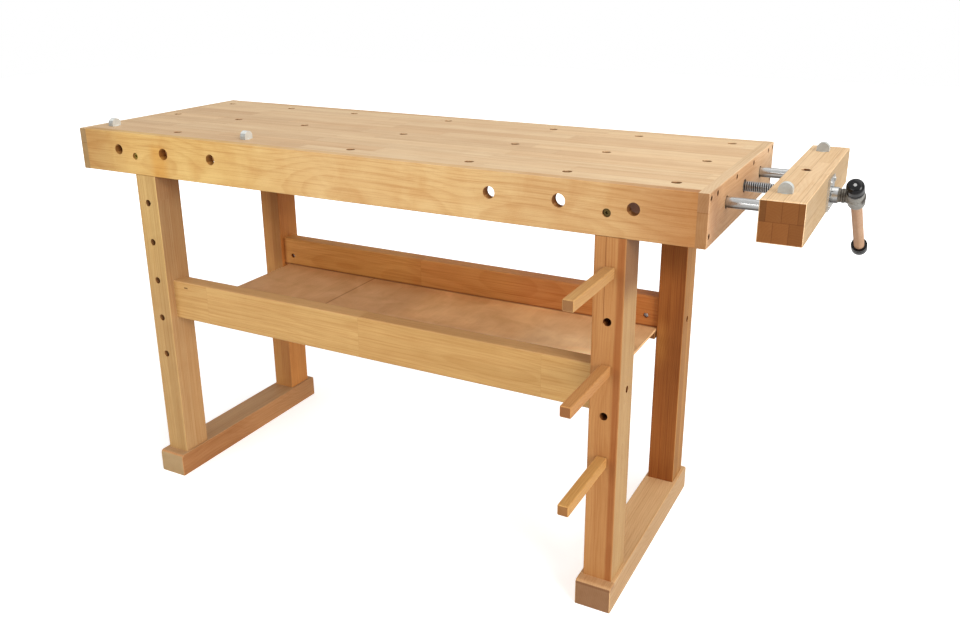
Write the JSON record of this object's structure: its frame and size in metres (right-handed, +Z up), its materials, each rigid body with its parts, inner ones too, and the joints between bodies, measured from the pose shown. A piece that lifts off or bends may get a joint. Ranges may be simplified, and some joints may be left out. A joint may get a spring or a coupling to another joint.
{
  "type": "woodworking bench",
  "caption": "Woodworking bench with a dog-hole worktop on two leg frames, a low shelf, an end vise with guide rods and a sliding handle, bench dogs and support pegs.",
  "frame": {"origin": "on the floor, under the middle of the overall box", "axes": "+X along the bench towards the end vise, +Y from the front to the back, +Z up"},
  "size_m": [1.715, 0.7154, 0.8783],
  "materials": {
    "beech_top": "oiled satin, glued staves",
    "beech_edge": "oiled satin, finger-jointed",
    "beech_frame": "oiled satin",
    "beech_handle": "oiled satin, turned",
    "plywood": "sanded, sealed",
    "zinc_fasteners": "zinc plated",
    "screw_steel": "oiled, dark",
    "dark_steel": "blackened",
    "bright_steel": "polished",
    "dog_steel": "zinc plated, satin",
    "cast_grey": "hammered grey paint on a casting",
    "black_plastic": "gloss black"
  },
  "bodies": {
    "bench": {"top_slab": "beech_top", "front_apron": "beech_edge", "back_apron": "beech_edge", "left_end_cap": "beech_edge", "right_end_cap": "beech_edge", "left_front_leg": "beech_frame", "left_back_leg": "beech_frame", "right_front_leg": "beech_frame", "right_back_leg": "beech_frame", "left_foot": "beech_frame", "right_foot": "beech_frame", "left_rail": "beech_frame", "right_rail": "beech_frame", "front_stretcher": "beech_frame", "back_stretcher": "beech_frame", "shelf_panel": "plywood", "shelf_cleats": "beech_frame", "stretcher_bolts": "zinc_fasteners", "barrel_nuts": "zinc_fasteners", "stretcher_dowels": "beech_frame", "apron_bolts": "zinc_fasteners", "end_cap_screws": "zinc_fasteners", "rail_screws": "zinc_fasteners", "vise_nut": "cast_grey", "nut_screws": "zinc_fasteners", "rod_bushings": "cast_grey", "bushing_screws": "zinc_fasteners"},
    "jaw": {"vise_jaw": "beech_frame", "jaw_flange": "bright_steel", "flange_screws": "zinc_fasteners", "guide_rod_front": "bright_steel", "guide_rod_back": "bright_steel", "rod_pins": "dark_steel"},
    "spindle": {"vise_screw": "screw_steel", "handle_hub": "cast_grey", "hub_pin": "dark_steel", "screw_collar": "bright_steel", "retaining_ring": "dark_steel", "ring_pin": "dark_steel"},
    "handle": {"handle_bar": "beech_handle", "handle_knob": "black_plastic", "handle_cap": "black_plastic", "knob_screws": "zinc_fasteners"},
    "dog_left": {"bench_dog_left": "dog_steel"},
    "dog_right": {"bench_dog_right": "dog_steel"},
    "dog_jaw_front": {"jaw_dog_front": "dog_steel"},
    "dog_jaw_back": {"jaw_dog_back": "dog_steel"},
    "peg_a": {"peg_upper": "beech_frame"},
    "peg_b": {"peg_middle": "beech_frame"},
    "peg_c": {"peg_lower": "beech_frame"}
  },
  "joints": [
    {"name": "screw_turn", "type": "hinge", "parent": "jaw", "child": "spindle", "pos_m": [0.7945, 0.09515, 0.819], "axis": [1, 0, 0], "range_deg": [-6993, 6480]},
    {"name": "jaw_slide", "type": "slide", "parent": "bench", "child": "jaw", "axis": [1, 0, 0], "range_m": [-0.0777, 0.072]},
    {"name": "handle_slide", "type": "slide", "parent": "spindle", "child": "handle", "axis": [0, -0.8018, 0.5976], "range_m": [0, 0.208]},
    {"name": "dog_left_lift", "type": "slide", "parent": "bench", "child": "dog_left", "axis": [0, 0, 1], "range_m": [0, 0.06]},
    {"name": "dog_right_lift", "type": "slide", "parent": "bench", "child": "dog_right", "axis": [0, 0, 1], "range_m": [0, 0.06]},
    {"name": "dog_jaw_front_lift", "type": "slide", "parent": "jaw", "child": "dog_jaw_front", "axis": [0, 0, 1], "range_m": [0, 0.06]},
    {"name": "dog_jaw_back_lift", "type": "slide", "parent": "jaw", "child": "dog_jaw_back", "axis": [0, 0, 1], "range_m": [0, 0.06]},
    {"name": "peg_upper_pull", "type": "slide", "parent": "bench", "child": "peg_a", "axis": [0, -1, 0], "range_m": [0, 0.05]},
    {"name": "peg_middle_pull", "type": "slide", "parent": "bench", "child": "peg_b", "axis": [0, -1, 0], "range_m": [0, 0.05]},
    {"name": "peg_lower_pull", "type": "slide", "parent": "bench", "child": "peg_c", "axis": [0, -1, 0], "range_m": [0, 0.05]}
  ],
  "couplings": [
    {"joint": "jaw_slide", "follows": "screw_turn", "m_per_rad": 0.00063662}
  ]
}
